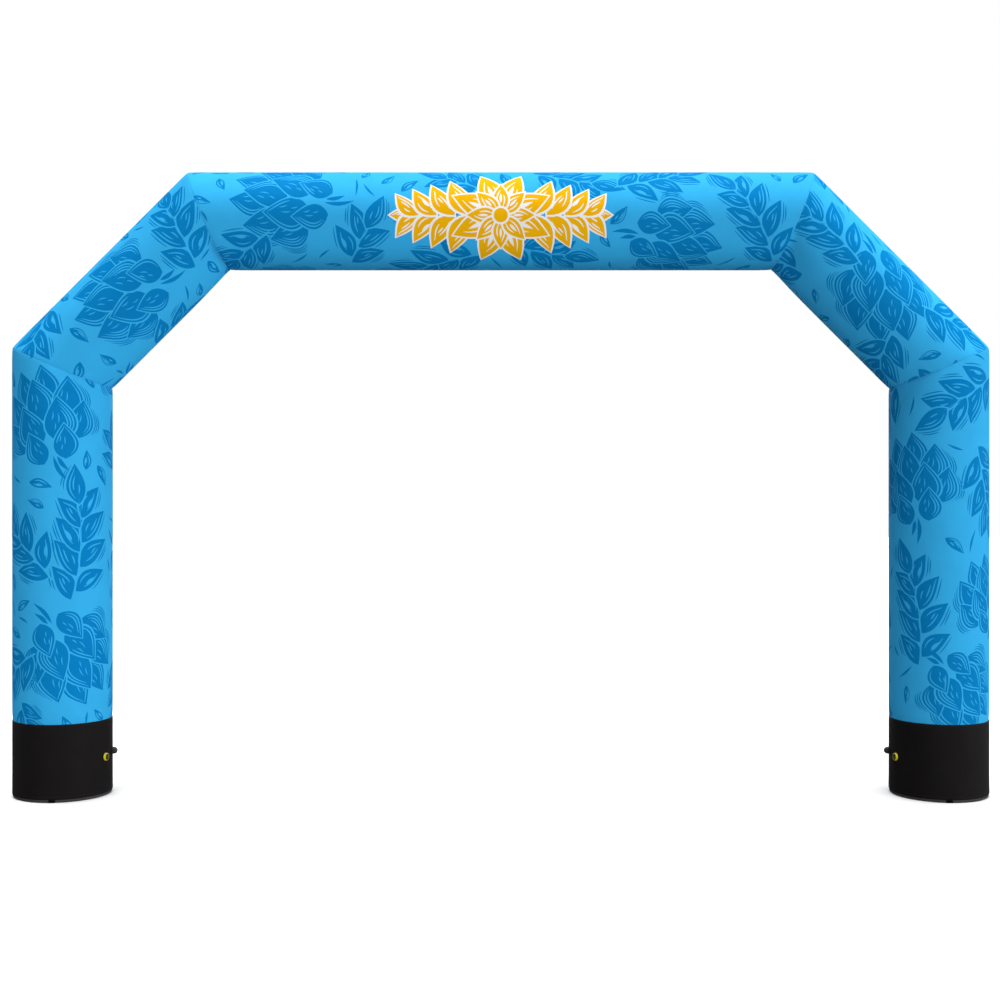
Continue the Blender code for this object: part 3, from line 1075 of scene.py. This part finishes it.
SEAT_PROFILE = (
    (0.0, 0.0271), (0.0012, 0.0275), (0.0019, 0.0274), (0.0024, 0.0270), (0.0025, 0.0265),
    (0.0025, 0.0148), (0.0027, 0.0142), (0.0072, 0.0142), (0.0078, 0.0140), (0.0080, 0.0135),
    (0.0080, 0.0125), (0.0078, 0.0119), (0.0073, 0.0116), (0.0052, 0.0114), (0.0048, 0.0108),
    (0.0047, 0.0100), (0.0047, 0.0020),
)
RING_PROFILE = (
    (0.0028, 0.0145), (0.0028, 0.0221), (0.0030, 0.0224), (0.0034, 0.0225), (0.0044, 0.0225),
    (0.0048, 0.0222), (0.0112, 0.0222), (0.0116, 0.0225), (0.0133, 0.0225), (0.0142, 0.0223),
    (0.0148, 0.0217), (0.0150, 0.0210), (0.0149, 0.0200), (0.0144, 0.0191), (0.0135, 0.0183),
    (0.0116, 0.0166), (0.0100, 0.0153), (0.0088, 0.0147), (0.0080, 0.0145),
)
RING_FUNNEL_ROW = 11      # where the ring's inner side begins, which has the painted-shade yellow
RING_SIDES = 144
RING_GRIPS = 24
GROOVE_DEPTH = 0.0004
HUB_PROFILE = (
    (0.0046, 0.0044), (0.0086, 0.0044), (0.0094, 0.0042), (0.0098, 0.0036), (0.0100, 0.0028),
    (0.0099, 0.0020), (0.0096, 0.0012),
)
COLLAR_PROFILE = (
    (0.0, 0.0231), (0.0014, 0.0235), (0.0026, 0.0235), (0.0033, 0.0231), (0.0035, 0.0224),
)
KNOB_RADIUS = 0.0220
KNOB_CENTRE = 0.0100
KNOB_STEPS = 26
KNOB_FLAT = math.radians(82.0)    # the latitude where its hollowed top begins
KNOB_HOLLOW = ((0.0006, 0.0022), (0.0008, 0.0012))


def groove(k, height, radius):
    """Depth of the shallow upright grooves round the yellow ring."""
    on_side = 0.004 < height < 0.0115 and radius > 0.022
    return GROOVE_DEPTH if on_side and k % (RING_SIDES // RING_GRIPS) < 2 else 0.0


def knob_profile():
    """A collar, a ball and a slight hollow in its top."""
    profile = list(COLLAR_PROFILE)
    low = math.asin((COLLAR_PROFILE[-1][0] - KNOB_CENTRE) / KNOB_RADIUS)
    for k in range(KNOB_STEPS + 1):
        latitude = low + (KNOB_FLAT - low) * k / KNOB_STEPS
        height = KNOB_CENTRE + KNOB_RADIUS * math.sin(latitude)
        profile.append((height, KNOB_RADIUS * math.cos(latitude)))
    top = KNOB_CENTRE + KNOB_RADIUS
    return profile + [(top - drop, radius) for drop, radius in KNOB_HOLLOW]


def make_fittings(materials):
    for side, inward in SIDES:
        at = fitting_frame(inward, VALVE_ANGLE, VALVE_HEIGHT)
        seat = turned_fitting("valve_seat_" + side + "_moulding", at, SEAT_PROFILE, 96,
                              [materials["black"]], seated=True)
        ride(seat, "valve_black", "valve_seat_" + side)
        ring = turned_fitting("valve_ring_" + side + "_moulding", at, RING_PROFILE, RING_SIDES,
                              [materials["yellow"], materials["shaded_yellow"]], ring=True)
        ride(ring, "valve_yellow", "valve_ring_" + side)
        # The bar and hub have the valve's yellow darkened as painted shade
        ride(valve_bar("valve_bar_" + side, at, materials["shaded_yellow"]), "valve_yellow")
        hub = turned_fitting("valve_hub_" + side, at, HUB_PROFILE, 48, [materials["shaded_yellow"]])
        ride(hub, "valve_yellow")
        at = fitting_frame(inward, KNOB_ANGLE, KNOB_HEIGHT)
        knob = turned_fitting("knob_" + side + "_moulding", at, knob_profile(), 72,
                              [materials["knob"]], seated=True)
        ride(knob, "knob_black", "knob_" + side)


# Stitching

STITCH = 0.0050
STITCH_PITCH = 0.0075
STITCH_HALF_WIDTH = 0.0006
STITCH_HEIGHT = 0.0005
TUBE_STITCHES_INSET = 0.008
BOOT_STITCHES = (("hem", BOOT_RADIUS - 0.0001, BASE_HEIGHT + 0.016),
                 ("top", BOOT_RADIUS - 0.0007, BOOT_TOP - 0.009))

# A stitch's points: share of its half length, half width and height, pointed at both ends
STITCH_POINTS = ((-1, 0, 0), (-0.55, -1, 0), (-0.55, 0, 1), (-0.55, 1, 0),
                 (0.55, -1, 0), (0.55, 0, 1), (0.55, 1, 0), (1, 0, 0))
STITCH_FACES = ((1, 2, 0), (2, 3, 0), (4, 5, 2, 1), (5, 6, 3, 2), (7, 5, 4), (7, 6, 5),
                (3, 1, 0), (3, 6, 4, 1), (6, 7, 4))


def stitches(name, places, normals, material, slot_name):
    """Short raised stitches along a closed line of cloth points."""
    onward = np.roll(places, -1, axis=0) - places
    onward /= np.linalg.norm(onward, axis=1)[:, None]
    directions = np.stack((onward, np.cross(normals, onward), normals), axis=1)
    stitch = np.array(STITCH_POINTS) * (STITCH / 2, STITCH_HALF_WIDTH, STITCH_HEIGHT)
    middles = places + normals * STITCH_HEIGHT * 0.2
    verts = (middles[:, None] + stitch @ directions).reshape(-1, 3)
    faces = [tuple(first + v for v in face) for first in range(0, len(verts), len(stitch))
             for face in STITCH_FACES]
    return ride(link(name, verts, faces, [material]), slot_name)


def tube_stitches(name, tube, at_end, material):
    """A row of stitches beside one of a tube's seams."""
    count = int(GIRTH / STITCH_PITCH)
    around = np.arange(count) * GIRTH / count
    start, end = tube.ends(around)
    along = end - TUBE_STITCHES_INSET if at_end else start + TUBE_STITCHES_INSET
    places = tube.place(around, along)
    return stitches(name, places, tube.normals(around, along), material, "printed_cloth")


def boot_stitches(name, centre, radius, height, material):
    """A level row of stitches round a boot."""
    count = int(2 * math.pi * radius / STITCH_PITCH)
    angles = np.arange(count) * 2 * math.pi / count
    out = np.column_stack((np.cos(angles), np.sin(angles), np.zeros(count)))
    return stitches(name, out * radius + (centre, 0.0, height), out, material, "boot_cloth")


def make_stitching(tubes, materials):
    for tube in tubes:
        for end in (0, 1):
            tube_stitches("stitches_%s_%d" % (tube.name, end), tube, end, materials["thread"])
    for side, inward in SIDES:
        for row, radius, height in BOOT_STITCHES:
            boot_stitches("stitches_boot_%s_%s" % (row, side), -inward * LEG_X, radius, height,
                          materials["black thread"])


# Stage and lights

FLOOR_HALF = 60.0
FLOOR_DIM = 0.09          # the grey that the part sees of the floor
FLOOR_PALE = 0.90
AMBIENT = 0.12


def white_to_camera(tree, kind, output, dim, pale):
    """Fills a node tree: pale where the camera sees it, and dim where it only lights the part."""
    tree.nodes.clear()
    path = add_node(tree, "ShaderNodeLightPath")
    mix = add_node(tree, "ShaderNodeMixShader", None, {
        "Fac": path.outputs["Is Camera Ray"],
        1: add_node(tree, kind, dim).outputs[0],
        2: add_node(tree, kind, pale).outputs[0],
    })
    add_node(tree, output, None, {"Surface": mix.outputs["Shader"]})


def grey(value):
    return value, value, value, 1.0


def make_stage():
    verts = [(x * FLOOR_HALF, y * FLOOR_HALF, 0.0) for x, y in ((-1, -1), (1, -1), (1, 1), (-1, 1))]
    material = bpy.data.materials.new("studio_floor")
    material.use_nodes = True
    white_to_camera(material.node_tree, "ShaderNodeBsdfDiffuse", "ShaderNodeOutputMaterial",
                    {"Color": grey(FLOOR_DIM)}, {"Color": grey(FLOOR_PALE)})
    floor = link("studio_floor", verts, [(0, 1, 2, 3)], [material])
    floor.visible_shadow = False


# Soft lights: name, azimuth from the front towards the right, elevation, strength
LIGHTS = (
    ("top", 0.0, 90.0, 1.60),
    ("key", 60.0, 0.0, 0.54),
    ("right_rim", 110.0, 5.0, 0.30),
    ("fill", -25.0, 5.0, 0.21),
    ("left_rim", -105.0, 5.0, 0.12),
    ("low", 15.0, -20.0, 0.33),
    ("back", 180.0, 10.0, 0.40),
)
SOFTNESS = math.radians(40.0)


def make_lights():
    for name, azimuth, elevation, strength in LIGHTS:
        light = bpy.data.lights.new("light_" + name, "SUN")
        light.energy = strength * math.pi
        light.angle = SOFTNESS
        obj = add_object("light_" + name, light)
        a = math.radians(azimuth)
        e = math.radians(elevation)
        towards = Vector((math.sin(a) * math.cos(e), -math.cos(a) * math.cos(e), math.sin(e)))
        obj.rotation_euler = towards.to_track_quat("Z", "Y").to_euler()
    world = bpy.data.worlds.new("studio")
    bpy.context.scene.world = world
    world.use_nodes = True
    white_to_camera(world.node_tree, "ShaderNodeBackground", "ShaderNodeOutputWorld",
                    {"Color": grey(1.0), "Strength": AMBIENT}, {"Color": grey(1.0), "Strength": 1.0})
    bpy.context.scene.view_settings.view_transform = "Standard"


place_camera()
materials = make_materials()
tubes = make_tubes(materials)
make_feet(materials)
make_tabs(materials)
make_fittings(materials)
make_stitching(tubes, materials)
make_stage()
make_lights()
